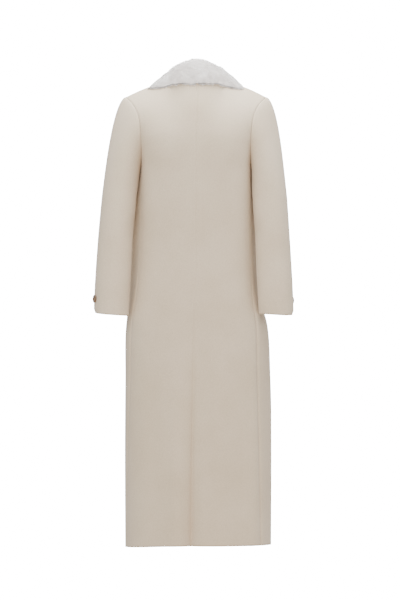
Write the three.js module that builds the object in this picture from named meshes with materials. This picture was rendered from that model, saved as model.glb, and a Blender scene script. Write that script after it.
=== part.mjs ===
// Full-length coat with a fur shawl collar, in its worn form with no wearer.
// Millimetres, +Z up, the front faces -Y and the wearer's left is +X.
// The origin is the middle of the neck opening, at the height of the shoulders.
import * as THREE from 'three';

// Driving sizes
const WALL = 2.2; // coat cloth
const SEAM = 0.36; // between two pieces that are sewn together
const LIE = 1.3; // under what lies on a panel
const HEM = -1257;
const ARM = -215; // height of the underarm point
const SHOULDER = { x: 193, y: 2, z: -27 }; // outer end of the shoulder seam
const NECK = { half: 76, side: -4, depth: 51, z: 22, rise: 5 }; // neck seam, a half ellipse behind
const NECK_SHARE = 5 / 12; // share of the back's top edge that is neckline
const SHOULDER_ARCH = 3;
const LEAN = 3; // the shoulders and the upper body stand a little towards the wearer's left

// Mesh steps
const ACROSS = 12;
const ROWS_LOW = 20;
const ROWS_TOP = 10;
const SLEEVE_CAP = 8;
const SLEEVE_TUBE = 8;

// Fronts: the right one lies over the left one
const OVERLAP = 28;
const OVER = WALL + 0.6;
const V_POINT = -300; // where the two front edges cross
const V_FULL = -380; // below this the edges are straight
const V_HALF = 22; // from the centre to each edge at the underarm's height

// Buttons
const FRONT_BUTTON = { radius: 14, thick: 4.6, heights: [-405, -565, -725] };
const CUFF_BUTTON = { radius: 11, thick: 4.2, up: 42 };
const CUFF_BUTTON_TURN = { left: 22, right: -28 }; // degrees round the sleeve, towards the back
const BUTTON_GAP = 0.35;

const deg = Math.PI / 180;

function clamp(t) {
  return Math.min(1, Math.max(0, t));
}

function ease(t) {
  const s = clamp(t);
  return s * s * (3 - 2 * s);
}

function bell(t) {
  return Math.exp(-t * t);
}

// A table gives one smooth function for each column after the first, which is the key.
function table(names, ...rows) {
  const columns = {};
  names.slice(1).forEach((name, index) => {
    const c = index + 1;
    const slopes = rows.map((row, i) => {
      const before = rows[Math.max(i - 1, 0)];
      const after = rows[Math.min(i + 1, rows.length - 1)];
      return (after[c] - before[c]) / (after[0] - before[0]);
    });
    columns[name] = (key) => {
      let i = 0;
      while (i < rows.length - 2 && key > rows[i + 1][0]) i += 1;
      const step = rows[i + 1][0] - rows[i][0];
      const t = clamp((key - rows[i][0]) / step);
      const a = (1 + 2 * t) * (1 - t) * (1 - t);
      const b = t * (1 - t) * (1 - t) * step;
      const d = t * t * (3 - 2 * t);
      const e = t * t * (t - 1) * step;
      return a * rows[i][c] + b * slopes[i] + d * rows[i + 1][c] + e * slopes[i + 1];
    };
  });
  return columns;
}

// Sections of the body: half width, back and front at the centre, depth of the widest point,
// and how square the section is
const BODY = table(
  ['z', 'half', 'back', 'front', 'mid', 'square'],
  [-1257, 199, 124, -128, -12, 2.3],
  [-1000, 200, 120, -126, -14, 2.3],
  [-800, 199, 116, -122, -18, 2.3],
  [-650, 196, 112, -118, -20, 2.3],
  [-540, 174, 108, -113, -16, 2.35],
  [-430, 157, 104, -109, -8, 2.45],
  [-320, 150, 104, -108, 0, 2.6],
  [-215, 150, 106, -108, 0, 2.7],
);

// Seams of the hanging skirt, which turns a little towards the wearer's left as it falls
const SEAMS = table(
  ['z', 'side', 'turn', 'trough', 'lean'],
  [-1257, 74, 8.2, 17, -1],
  [-1000, 71, 7, 11, -1],
  [-800, 68, 5.6, 6.5, -1],
  [-650, 68, 4.2, 3, 0],
  [-520, 72, 1, 0.6, 2],
  [-400, 78, 0, 0, 3],
  [-215, 88, 0, 0, 3],
);
const TROUGH_WIDTH = 21;

// Where the sleeves press the sides in
const PRESS = table(['z', 'deep'], [-760, 0], [-700, 3], [-650, 8], [-600, 13], [-540, 9], [-430, 3], [-300, 0]);
const PRESS_AT = 76;
const PRESS_WIDTH = 20;
const PRESS_SHARE = { left: 0.15, right: 1 };

// Soft upright folds: place and width round the body in degrees, heights where they start and
// are full, and how far they stand out
const FOLDS = [
  { at: 24, width: 8, top: -560, full: -1150, rise: 4 },
  { at: 46, width: 9, top: -420, full: -1000, rise: -2.5 },
  { at: -22, width: 9, top: -300, full: -900, rise: 3 },
  { at: -44, width: 8, top: -520, full: -1100, rise: -3 },
  { at: -58, width: 6, top: -620, full: -900, rise: 3 },
  { at: 104, width: 9, top: -640, full: -1150, rise: 3 },
  { at: -102, width: 8, top: -600, full: -1100, rise: 4 },
  { at: 128, width: 10, top: -330, full: -950, rise: 4 },
  { at: -126, width: 11, top: -360, full: -900, rise: 3.5 },
  { at: 150, width: 8, top: -500, full: -1100, rise: -3 },
  { at: -152, width: 9, top: -450, full: -1000, rise: -3.5 },
];
const HEM_DIP = { at: 82, width: 36, drop: 6, above: -900 };

function relief(phi, z, radius) {
  const fromSeam = (phi - SEAMS.turn(z) * deg) * radius;
  let out = -SEAMS.trough(z) * bell(fromSeam / TROUGH_WIDTH);
  for (const fold of FOLDS) {
    const strength = ease((fold.top - z) / (fold.top - fold.full));
    const off = ((phi / deg - fold.at + 540) % 360) - 180;
    out += fold.rise * strength * bell(off / fold.width);
  }
  const share = phi > 0 ? PRESS_SHARE.left : PRESS_SHARE.right;
  out -= share * PRESS.deep(z) * bell((Math.abs(phi) / deg - PRESS_AT) / PRESS_WIDTH);
  return out;
}

// A point of the body below the arms. phi is 0 at the centre back and grows to the wearer's left.
function bodyPoint(phi, z) {
  const mid = BODY.mid(z);
  const deep = Math.cos(phi) > 0 ? BODY.back(z) - mid : mid - BODY.front(z);
  const square = BODY.square(z);
  const across = Math.abs(Math.sin(phi) / BODY.half(z)) ** square;
  const along = Math.abs(Math.cos(phi) / deep) ** square;
  const plain = (across + along) ** (-1 / square);
  const radius = plain + relief(phi, z, plain);
  const dip = HEM_DIP.drop * bell((phi / deg - HEM_DIP.at) / HEM_DIP.width);
  const low = ease((HEM_DIP.above - z) / (HEM_DIP.above - HEM));
  return new THREE.Vector3(
    SEAMS.lean(z) + radius * Math.sin(phi),
    mid + radius * Math.cos(phi),
    z - dip * low,
  );
}

function bodyNormal(phi, z) {
  const step = 0.01;
  const across = bodyPoint(phi + step, z).sub(bodyPoint(phi - step, z));
  const up = bodyPoint(phi, z + 4).sub(bodyPoint(phi, z - 4));
  return up.cross(across).normalize();
}

// Outline of the upper pieces, for the wearer's left side
const ARMHOLE = {
  back: table(
    ['v', 'x', 'y', 'z'],
    [0, 150, 5, -215],
    [0.2, 149.5, 36, -192],
    [0.4, 150.5, 60, -150],
    [0.6, 152.5, 66, -110],
    [0.8, 160, 54, -70],
    [0.9, 173, 33, -47],
    [1, 193, 2, -27],
  ),
  front: table(
    ['v', 'x', 'y', 'z'],
    [0, 150, 5, -215],
    [0.2, 150, -28, -196],
    [0.4, 151, -50, -155],
    [0.6, 151, -55, -112],
    [0.8, 158, -44, -70],
    [0.9, 171, -26, -47],
    [1, 193, 2, -27],
  ),
};
const NAPE = table(['v', 'y', 'z'], [0, 106, -215], [0.25, 105, -155], [0.5, 98, -97], [0.75, 82, -38], [1, 47, 27]);
const NECK_EDGE = table(
  ['v', 'x', 'y', 'z'],
  [0, 22, -108, -215],
  [0.3, 38, -104, -142],
  [0.6, 56, -86, -72],
  [0.85, 71, -45, -6],
  [1, 76, -4, 22],
);

// Angle round the body, on one side, of a point across a panel
function panelAngle(part, u, z) {
  const side = SEAMS.side(z) * deg;
  if (part === 'back') return u * side;
  const edge = z > V_POINT
    ? (V_HALF * (z - V_POINT)) / (ARM - V_POINT)
    : -OVERLAP * ease((V_POINT - z) / (V_POINT - V_FULL));
  const last = Math.PI - Math.atan2(edge, BODY.mid(z) - BODY.front(z));
  return side + u * (last - side);
}

function turned(side, angle, z) {
  const keep = 1 - 0.7 * (angle / Math.PI) ** 2;
  return side * angle + SEAMS.turn(z) * deg * keep;
}

function overlapLift(part, side, angle) {
  if (part === 'back' || side > 0) return 0;
  return OVER * ease((angle / deg - 152) / 13);
}

function lowPoint(part, side, u, z) {
  const angle = panelAngle(part, u, z);
  const phi = turned(side, angle, z);
  const point = bodyPoint(phi, z);
  return point.addScaledVector(bodyNormal(phi, z), overlapLift(part, side, angle));
}

function sidePoint(part, side, v) {
  const line = ARMHOLE[part];
  const rest = lowPoint(part, side, part === 'back' ? 1 : 0, ARM);
  const point = new THREE.Vector3(side * line.x(v) + LEAN, line.y(v), line.z(v));
  const start = new THREE.Vector3(side * line.x(0) + LEAN, line.y(0), line.z(0));
  return point.addScaledVector(rest.sub(start), 1 - ease(v / 0.4));
}

function centrePoint(part, side, v) {
  const lean = LEAN * (1 - v);
  if (part === 'back') return new THREE.Vector3(lean, NAPE.y(v), NAPE.z(v));
  const rest = lowPoint(part, side, 1, ARM);
  const point = new THREE.Vector3(side * NECK_EDGE.x(v) + lean, NECK_EDGE.y(v), NECK_EDGE.z(v));
  const start = new THREE.Vector3(side * NECK_EDGE.x(0) + LEAN, NECK_EDGE.y(0), NECK_EDGE.z(0));
  return point.addScaledVector(rest.sub(start), 1 - ease(v));
}

// The top edge: half the neck seam, then the shoulder seam
function neckPoint(side, share) {
  const angle = (share * Math.PI) / 2;
  return new THREE.Vector3(
    side * NECK.half * Math.sin(angle),
    NECK.side + NECK.depth * Math.cos(angle),
    NECK.z + NECK.rise * Math.cos(angle),
  );
}

function shoulderPoint(side, share) {
  const inner = neckPoint(side, 1);
  const outer = new THREE.Vector3(side * SHOULDER.x + LEAN, SHOULDER.y, SHOULDER.z);
  const point = inner.lerp(outer, share);
  point.z += SHOULDER_ARCH * Math.sin(Math.PI * share);
  return point;
}

function topPoint(part, side, u) {
  if (part === 'front') return shoulderPoint(side, 1 - u);
  if (u < NECK_SHARE) return neckPoint(side, u / NECK_SHARE);
  return shoulderPoint(side, (u - NECK_SHARE) / (1 - NECK_SHARE));
}

// A point of a body panel. Above the underarm it is filled in between the four edges, and the
// curve of the top edge fades towards the chest. u runs from the centre back to the side on a back, and from the side
// to the front edge on a front; v is 0 at the hem, 1 at the underarm and 2 at the shoulder.
function panelPoint(part, side, u, v) {
  if (v <= 1) return lowPoint(part, side, u, HEM + v * (ARM - HEM));
  const w = v - 1;
  const left = part === 'back' ? centrePoint(part, side, w) : sidePoint(part, side, w);
  const right = part === 'back' ? sidePoint(part, side, w) : centrePoint(part, side, w);
  const low = lowPoint(part, side, u, ARM);
  const chord = topPoint(part, side, 0).lerp(topPoint(part, side, 1), u);
  const top = chord.lerp(topPoint(part, side, u), w);
  const point = low.multiplyScalar(1 - w).addScaledVector(top, w);
  point.addScaledVector(left, 1 - u).addScaledVector(right, u);
  point.addScaledVector(lowPoint(part, side, 0, ARM), -(1 - u) * (1 - w));
  point.addScaledVector(lowPoint(part, side, 1, ARM), -u * (1 - w));
  point.addScaledVector(topPoint(part, side, 0), -(1 - u) * w);
  point.addScaledVector(topPoint(part, side, 1), -u * w);
  return point;
}

function panelNormal(part, side, u, v) {
  if (v <= 1) {
    const z = HEM + v * (ARM - HEM);
    return bodyNormal(turned(side, panelAngle(part, u, z), z), z);
  }
  const step = 0.02;
  const u1 = Math.min(1, u + step);
  const u0 = Math.max(0, u - step);
  const v1 = Math.min(2, v + step);
  const v0 = Math.max(1, v - step);
  const across = panelPoint(part, side, u1, v).sub(panelPoint(part, side, u0, v));
  const up = panelPoint(part, side, u, v1).sub(panelPoint(part, side, u, v0));
  const normal = up.cross(across).multiplyScalar(side);
  const onShoulder = part === 'front' || u > NECK_SHARE - step;
  if (v > 1.999 && onShoulder) normal.y = 0;
  if (part === 'back' && u < step) normal.x = 0;
  return normal.normalize();
}

// Closed solids from grids of points
function solid(name, points, faces, material) {
  const geometry = new THREE.BufferGeometry();
  const flat = points.flatMap((point) => [point.x, point.y, point.z]);
  geometry.setAttribute('position', new THREE.Float32BufferAttribute(flat, 3));
  geometry.setIndex(faces);
  geometry.computeVertexNormals();
  const mesh = new THREE.Mesh(geometry, material);
  mesh.name = name;
  return mesh;
}

function quad(faces, a, b, c, d, flip) {
  if (flip) faces.push(a, c, b, a, d, c);
  else faces.push(a, b, c, a, c, d);
}

// A wall between an outer and an inner grid, open at its borders or closed round each row
function wall(name, outer, inner, flip, round, material) {
  const rows = outer.length;
  const across = outer[0].length;
  const points = [...outer.flat(), ...inner.flat()];
  const at = (layer, j, i) => layer * rows * across + j * across + (i % across);
  const faces = [];
  const last = round ? across : across - 1;
  for (let j = 0; j < rows - 1; j += 1) {
    for (let i = 0; i < last; i += 1) {
      quad(faces, at(0, j, i), at(0, j, i + 1), at(0, j + 1, i + 1), at(0, j + 1, i), flip);
      quad(faces, at(1, j, i), at(1, j, i + 1), at(1, j + 1, i + 1), at(1, j + 1, i), !flip);
    }
    if (!round) {
      quad(faces, at(0, j, 0), at(0, j + 1, 0), at(1, j + 1, 0), at(1, j, 0), flip);
      quad(faces, at(0, j, last), at(0, j + 1, last), at(1, j + 1, last), at(1, j, last), !flip);
    }
  }
  for (let i = 0; i < last; i += 1) {
    quad(faces, at(0, 0, i), at(0, 0, i + 1), at(1, 0, i + 1), at(1, 0, i), !flip);
    quad(faces, at(0, rows - 1, i), at(0, rows - 1, i + 1), at(1, rows - 1, i + 1), at(1, rows - 1, i), flip);
  }
  return solid(name, points, faces, material);
}

// Draws the borders of a piece back by half a seam
function drawBack(grid, top) {
  const last = grid[0].length - 1;
  const pull = (point, towards) => point.addScaledVector(towards.clone().sub(point).normalize(), SEAM / 2);
  for (const row of grid) {
    pull(row[0], row[1]);
    pull(row[last], row[last - 1]);
  }
  if (top) grid[grid.length - 1].forEach((point, i) => pull(point, grid[grid.length - 2][i]));
}

function panel(name, part, side, material) {
  const levels = [];
  for (let j = 0; j <= ROWS_LOW; j += 1) levels.push(j / ROWS_LOW);
  for (let j = 1; j <= ROWS_TOP; j += 1) levels.push(1 + j / ROWS_TOP);
  const outer = [];
  const inner = [];
  for (const v of levels) {
    const row = [];
    const normals = [];
    for (let i = 0; i <= ACROSS; i += 1) {
      row.push(panelPoint(part, side, i / ACROSS, v));
      normals.push(panelNormal(part, side, i / ACROSS, v));
    }
    outer.push(row);
    inner.push(normals);
  }
  drawBack(outer, true);
  const backs = outer.map((row, j) => row.map((point, i) => point.clone().addScaledVector(inner[j][i], -WALL)));
  return wall(name, outer, backs, side > 0, false, material);
}

// Sleeves: middle, half width and half depth at each height, for the wearer's left side
const SLEEVE = table(
  ['z', 'x', 'y', 'half', 'deep'],
  [-624, 227, 50, 48.2, 49],
  [-540, 223, 43, 49, 52],
  [-430, 217, 32, 48.4, 56],
  [-300, 207.5, 18, 48, 61],
);
const SLEEVE_SHIFT = table(['z', 'left'], [-624, 9], [-430, 8.5], [-300, 7], [-27, 3]);
const SLEEVE_TOP = -300;
const CUFF = -624;
const CUFF_TILT = { left: 3, right: -3 }; // how much lower the inner edge of the cuff hangs

// Soft breaks of the cloth at the elbow, in degrees round the sleeve
const SLEEVE_FOLDS = [
  { at: 150, width: 30, z: -400, reach: 34, rise: -3 },
  { at: 60, width: 34, z: -452, reach: 42, rise: -1.6 },
  { at: 250, width: 32, z: -380, reach: 30, rise: -3.5 },
  { at: 235, width: 36, z: -455, reach: 30, rise: -2.5 },
];

function sleeveRing(side, psi, z) {
  const shift = SLEEVE_SHIFT.left(z);
  let fold = 0;
  for (const row of SLEEVE_FOLDS) {
    fold += row.rise * bell((psi / deg - row.at) / row.width) * bell((z - row.z) / row.reach);
  }
  const tilt = side > 0 ? CUFF_TILT.left : CUFF_TILT.right;
  const low = clamp((SLEEVE_TOP - z) / (SLEEVE_TOP - CUFF));
  return new THREE.Vector3(
    side * (SLEEVE.x(z) + (SLEEVE.half(z) + fold) * Math.cos(psi)) + shift,
    SLEEVE.y(z) + (SLEEVE.deep(z) + fold) * Math.sin(psi),
    z + tilt * Math.cos(psi) * low,
  );
}

function sleeveCap(side, index, count, t) {
  const psi = (2 * Math.PI * index) / count;
  const half = count / 2;
  const part = index <= half ? 'back' : 'front';
  const share = index <= half ? 1 - index / half : index / half - 1;
  const start = sidePoint(part, side, share);
  const end = sleeveRing(side, psi, SLEEVE_TOP);
  const top = (1 + Math.cos(psi)) / 2;
  start.x += side * (SEAM + 0.5 * top);
  const leave = new THREE.Vector3(side * (0.2 + 0.8 * top ** 0.7), 0.12 * Math.sin(psi), -1 + 0.72 * top ** 0.8);
  leave.normalize().multiplyScalar(60 + 50 * top);
  const arrive = new THREE.Vector3(side * 0.12, 0.1, -1).multiplyScalar(80 + 170 * top);
  const a = (1 + 2 * t) * (1 - t) * (1 - t);
  const b = t * (1 - t) * (1 - t);
  const c = t * t * (3 - 2 * t);
  const d = t * t * (t - 1);
  return start.multiplyScalar(a).addScaledVector(leave, b).addScaledVector(end, c).addScaledVector(arrive, d);
}

function sleeveGrid(side) {
  const count = 2 * ROWS_TOP;
  const grid = [];
  for (let j = 0; j < SLEEVE_CAP; j += 1) {
    const row = [];
    for (let i = 0; i < count; i += 1) row.push(sleeveCap(side, i, count, j / SLEEVE_CAP));
    grid.push(row);
  }
  for (let j = 0; j <= SLEEVE_TUBE; j += 1) {
    const z = SLEEVE_TOP + ((CUFF - SLEEVE_TOP) * j) / SLEEVE_TUBE;
    const row = [];
    for (let i = 0; i < count; i += 1) row.push(sleeveRing(side, (2 * Math.PI * i) / count, z));
    grid.push(row);
  }
  return grid;
}

function sleeve(name, side, material) {
  const outer = sleeveGrid(side);
  const count = outer[0].length;
  const inner = outer.map((row, j) => row.map((point, i) => {
    const across = row[(i + 1) % count].clone().sub(row[(i + count - 1) % count]);
    const down = outer[Math.min(j + 1, outer.length - 1)][i].clone().sub(outer[Math.max(j - 1, 0)][i]);
    const normal = down.cross(across).multiplyScalar(side).normalize();
    return point.clone().addScaledVector(normal, -WALL);
  }));
  return wall(name, outer, inner, side > 0, true, material);
}

// Fur collar. k is 0 at the centre back, 1 at the shoulder seam and 2 at the lower tip.
const COLLAR_EDGE = {
  back: table(['k', 'u', 'v'], [0, 0, 1.935], [0.35, 0.2, 1.94], [0.7, 0.46, 1.94], [0.88, 0.65, 1.95], [1, 0.775, 2]),
  front: table(
    ['k', 'u', 'in', 'v'],
    [1, 0.385, 1, 2],
    [1.2, 0.32, 1, 1.74],
    [1.4, 0.33, 1, 1.47],
    [1.6, 0.43, 1, 1.21],
    [1.76, 0.58, 1, 1],
    [1.9, 0.78, 0.995, 0.956],
    [2, 0.93, 0.985, 0.922],
  ),
};
// Roll of the collar above its neck seam: up, along the cloth's normal and outwards; the fur's
// fullness at the outer edge and at the roll; how far the roll leans over the opening; the fur's
// depth on the chest, and how far the collar lies there instead of being folded over
const COLLAR_ROLL = table(
  ['k', 'up', 'lift', 'out', 'edge', 'top', 'over', 'pile', 'lies'],
  [0, 57, 0, -1, 21, 21, 15, 15, 0],
  [0.3, 46, 0, 0, 20, 20, 14, 15, 0],
  [0.6, 29, 0, 1, 17, 18, 13, 15, 0],
  [0.8, 19, 0, 2, 14, 16, 11, 14, 0],
  [1, 13, 1, 3, 10, 15, 9, 13, 0.3],
  [1.15, 9, 6, 2, 12, 20, 7, 14, 0.7],
  [1.3, 5, 12, 1, 14, 26, 6, 15, 1],
  [1.5, 0, 16, 0, 13, 26, 5, 15, 1],
  [1.76, 0, 15, 0, 12, 20, 4, 15, 1],
  [1.9, 0, 12, 0, 9, 11, 2.5, 12, 1],
  [2, 0, 7, 0, 5, 4, 1, 7, 1],
);
// Place across the collar from its outer edge, and share of the fur's depth there
const COLLAR_DOME = [[0.06, 0.6], [0.25, 0.95], [0.48, 1.05], [0.7, 1.08], [0.88, 1.04]];
const COLLAR_STEPS = { back: 10, front: 14 };

function collarUnder(side, k, c) {
  const part = k <= 1 ? 'back' : 'front';
  const edge = COLLAR_EDGE[part];
  const u0 = part === 'back' ? NECK_SHARE * k : edge.in(k);
  const v0 = part === 'back' ? 2 : edge.v(k);
  const u = u0 + (edge.u(k) - u0) * c;
  const v = v0 + (edge.v(k) - v0) * c;
  const normal = panelNormal(part, side, u, v);
  return { point: panelPoint(part, side, u, v).addScaledVector(normal, LIE), normal };
}

function bezier(a, b, c, d, t) {
  const s = 1 - t;
  return a.clone().multiplyScalar(s * s * s)
    .addScaledVector(b, 3 * s * s * t)
    .addScaledVector(c, 3 * s * t * t)
    .addScaledVector(d, t * t * t);
}

function collarSection(side, k) {
  const under = [0, 0.17, 0.34, 0.51, 0.68, 0.84, 1].map((c) => collarUnder(side, k, c));
  const neck = under[0];
  const edge = under[under.length - 1];
  const out = edge.point.clone().sub(neck.point).normalize();
  const level = out.clone().setZ(0).normalize();
  const flat = ease((k - 1) / 0.5);
  const away = level.multiplyScalar(1 - flat).addScaledVector(out, flat).normalize();
  const roll = neck.point.clone()
    .addScaledVector(new THREE.Vector3(0, 0, 1), COLLAR_ROLL.up(k))
    .addScaledVector(neck.normal, COLLAR_ROLL.lift(k))
    .addScaledVector(away, COLLAR_ROLL.out(k));
  const rim = edge.point.clone().addScaledVector(edge.normal, COLLAR_ROLL.edge(k));
  const crown = roll.clone().addScaledVector(away, COLLAR_ROLL.top(k));
  const lean = roll.clone().addScaledVector(away, -COLLAR_ROLL.over(k));
  const stand = neck.point.clone().addScaledVector(roll.clone().sub(neck.point), 0.4);
  const points = under.map((item) => item.point);
  for (const [t, full] of COLLAR_DOME) {
    const folded = bezier(edge.point, rim, crown, roll, t);
    const lying = collarUnder(side, k, 1 - t);
    lying.point.addScaledVector(lying.normal, COLLAR_ROLL.pile(k) * full);
    points.push(folded.lerp(lying.point, COLLAR_ROLL.lies(k)));
  }
  points.push(roll);
  for (const t of [0.25, 0.5, 0.78]) points.push(bezier(roll, lean, stand, neck.point, t));
  return points;
}

function collar(name, material) {
  const keys = [];
  const { back, front } = COLLAR_STEPS;
  for (let i = 0; i <= back; i += 1) keys.push(i / back);
  for (let i = 1; i <= front; i += 1) keys.push(1 + i / front);
  const left = keys.map((k) => collarSection(1, k));
  const right = keys.slice(1).map((k) => collarSection(-1, k)).reverse();
  const sections = [...right, ...left];
  const count = sections[0].length;
  const points = sections.flat();
  const faces = [];
  for (let j = 0; j < sections.length - 1; j += 1) {
    for (let i = 0; i < count; i += 1) {
      const next = (i + 1) % count;
      quad(faces, j * count + i, j * count + next, (j + 1) * count + next, (j + 1) * count + i, false);
    }
  }
  const start = (sections.length - 1) * count;
  for (let i = 1; i < count - 1; i += 1) {
    faces.push(0, i + 1, i);
    faces.push(start, start + i, start + i + 1);
  }
  return solid(name, points, faces, material);
}

// A round button with a raised rim and a dished face
function button(name, size, place, normal, material) {
  const r = size.radius;
  const t = size.thick;
  const profile = [
    [0, 0],
    [r * 0.8, 0],
    [r, t * 0.35],
    [r, t * 0.7],
    [r * 0.88, t],
    [r * 0.7, t * 0.82],
    [r * 0.5, t * 0.6],
    [0, t * 0.55],
  ].map(([x, y]) => new THREE.Vector2(x, y));
  const mesh = new THREE.Mesh(new THREE.LatheGeometry(profile, 20), material);
  mesh.name = name;
  mesh.quaternion.setFromUnitVectors(new THREE.Vector3(0, 1, 0), normal);
  mesh.position.copy(place).addScaledVector(normal, BUTTON_GAP);
  return mesh;
}

function cuffButton(name, side, turn, material) {
  const z = CUFF + CUFF_BUTTON.up;
  const place = sleeveRing(side, turn * deg, z);
  const across = sleeveRing(side, (turn + 1) * deg, z).sub(sleeveRing(side, (turn - 1) * deg, z));
  const up = sleeveRing(side, turn * deg, z + 5).sub(sleeveRing(side, turn * deg, z - 5));
  const normal = across.cross(up).multiplyScalar(side).normalize();
  return button(name, CUFF_BUTTON, place, normal, material);
}

function frontButton(name, z, material) {
  const phi = turned(-1, Math.PI, z);
  const normal = bodyNormal(phi, z);
  const place = bodyPoint(phi, z).addScaledVector(normal, OVER);
  return button(name, FRONT_BUTTON, place, normal, material);
}

// Materials
const wool = new THREE.MeshStandardMaterial({ color: 0xd0c7b9, roughness: 0.92, metalness: 0 });
const fur = new THREE.MeshStandardMaterial({ color: 0xe6e3df, roughness: 1, metalness: 0 });
const horn = new THREE.MeshStandardMaterial({ color: 0x7a5f4a, roughness: 0.35, metalness: 0.1 });

const group = new THREE.Group();
const SIDES = { left: 1, right: -1 };
for (const [word, side] of Object.entries(SIDES)) {
  group.add(panel(`back_${word}`, 'back', side, wool));
  group.add(panel(`front_${word}`, 'front', side, wool));
  group.add(sleeve(`sleeve_${word}`, side, wool));
  group.add(cuffButton(`cuff_button_${word}`, side, CUFF_BUTTON_TURN[word], horn));
}
group.add(collar('fur_collar', fur));
FRONT_BUTTON.heights.forEach((z, i) => group.add(frontButton(`front_button_${i + 1}`, z, horn)));

export default group;
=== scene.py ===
"""Looks of a full-length wool coat with a fur shawl collar, seen from behind."""

import math

import bmesh
import bpy
import numpy as np
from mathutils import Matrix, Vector


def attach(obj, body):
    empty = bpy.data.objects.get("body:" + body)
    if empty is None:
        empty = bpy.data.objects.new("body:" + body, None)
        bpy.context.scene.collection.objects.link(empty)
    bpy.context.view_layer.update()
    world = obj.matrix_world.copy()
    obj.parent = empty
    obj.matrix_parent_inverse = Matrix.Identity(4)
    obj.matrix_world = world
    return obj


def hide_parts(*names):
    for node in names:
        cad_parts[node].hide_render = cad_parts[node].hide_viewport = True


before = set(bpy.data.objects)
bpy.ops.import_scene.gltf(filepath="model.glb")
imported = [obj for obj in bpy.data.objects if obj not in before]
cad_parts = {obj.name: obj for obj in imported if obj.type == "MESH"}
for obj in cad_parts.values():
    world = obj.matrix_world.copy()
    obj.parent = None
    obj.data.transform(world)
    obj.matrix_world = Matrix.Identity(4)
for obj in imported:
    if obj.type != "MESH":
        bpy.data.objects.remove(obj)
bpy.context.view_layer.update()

# The coat's sizes are in millimetres, as its cutter has them; meshes are made in metres
MM = 0.001
DEG = math.pi / 180
SIDES = {"left": 1, "right": -1}

# Driving sizes
WALL = 2.2
HEM_THICK = 2.7
HEM_DEPTH = 45
HEM_STEP = 6
SEAM_TURN = 9  # cloth turned in under the armhole seam
LIE = 1.3  # from the cloth to the underside of the collar
HEM = -1257
ARM = -215
UNDERARM = (150, 5, ARM)
CHEST_FRONT = -108
SHOULDER = np.array([193, 2, -23])
NECK_HALF = 76
NECK_SIDE = -4
NECK_DEPTH = 51
NECK_Z = 22
NECK_RISE = 5
NECK_SHARE = 5 / 12
SHOULDER_ARCH = 4.5
LEAN = 3

# Fronts
OVERLAP = 28
OVER = WALL + 0.6
OVER_FROM = 152  # degrees from the back
OVER_WIDTH = 13
V_POINT = -300
V_FULL = -380
V_HALF = 22


# Small maths
def ease(t):
    t = np.clip(t, 0, 1)
    return t * t * (3 - 2 * t)


def bell(t):
    return np.exp(-np.square(t))


def unit(vectors):
    return vectors / np.maximum(np.linalg.norm(vectors, axis=-1, keepdims=True), 1e-12)


def stack(x, y, z):
    return np.stack(np.broadcast_arrays(x, y, z), axis=-1).astype(float)


def mix(a, b, t):
    t = np.asarray(t)[..., None]
    return a * (1 - t) + b * t


def table(names, *rows):
    """One smooth function for each column after the first, which is the key."""
    data = np.array(rows, dtype=float)
    keys = data[:, 0]
    spans = np.append(keys[1:], keys[-1]) - np.insert(keys[:-1], 0, keys[0])

    def column(values):
        slopes = (np.append(values[1:], values[-1]) - np.insert(values[:-1], 0, values[0])) / spans

        def at(key):
            key = np.asarray(key, dtype=float)
            i = np.clip(np.searchsorted(keys, key, side="right") - 1, 0, len(keys) - 2)
            step = keys[i + 1] - keys[i]
            t = np.clip((key - keys[i]) / step, 0, 1)
            a = (1 + 2 * t) * (1 - t) ** 2
            b = t * (1 - t) ** 2 * step
            c = t * t * (3 - 2 * t)
            d = t * t * (t - 1) * step
            return a * values[i] + b * slopes[i] + c * values[i + 1] + d * slopes[i + 1]

        return at

    return {name: column(data[:, n + 1]) for n, name in enumerate(names[1:])}


# Sections of the body
BODY = table(
    ["z", "half", "back", "front", "mid", "square"],
    [-1257, 199, 124, -128, -12, 2.3],
    [-1000, 200, 120, -126, -14, 2.3],
    [-800, 199, 116, -122, -18, 2.3],
    [-650, 196, 112, -118, -20, 2.3],
    [-540, 174, 108, -113, -16, 2.35],
    [-430, 157, 104, -109, -8, 2.45],
    [-320, 150, 104, -108, 0, 2.6],
    [-215, 150, 106, -108, 0, 2.7],
)
SEAMS = table(
    ["z", "side", "turn", "trough", "lean"],
    [-1257, 74, 8.2, 17, -1],
    [-1000, 71, 7, 11, -1],
    [-800, 68, 5.6, 6.5, -1],
    [-650, 68, 4.2, 3, 0],
    [-520, 72, 1, 0.6, 2],
    [-400, 78, 0, 0, 3],
    [-215, 88, 0, 0, 3],
)
TROUGH_WIDTH = 21
TROUGH_LINE = 4.6  # a narrow line along the bottom of the trough
TROUGH_LINE_WIDTH = 6
TROUGH_LINE_TOP = -590
TROUGH_LINE_FULL = -980
# The waist is pressed in at its sides, and much less at the left one
PRESS = table(
    ["z", "deep"],
    [-760, 0],
    [-700, 0.5],
    [-650, 3],
    [-600, 11],
    [-540, 9],
    [-430, 3],
    [-300, 0],
)
PRESS_AT = 76
PRESS_WIDTH = 20
PRESS_LEFT_SHARE = 0.15

# Soft upright folds. Each row has its place and width in degrees, the heights where it starts and is full,
# and how far it stands out
FOLDS = [
    [24, 8, -560, -1150, 4],
    [46, 9, -420, -1000, -2.5],
    [-22, 9, -300, -900, 3],
    [-44, 8, -520, -1100, -3],
    [-58, 6, -620, -900, 3],
    [104, 9, -640, -1150, 3],
    [-102, 8, -600, -1100, 4],
    [-88, 7, -640, -900, 4.5],
    [128, 10, -330, -950, 4],
    [-126, 11, -360, -900, 3.5],
    [150, 8, -500, -1100, -3],
    [-152, 9, -450, -1000, -3.5],
]
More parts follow.
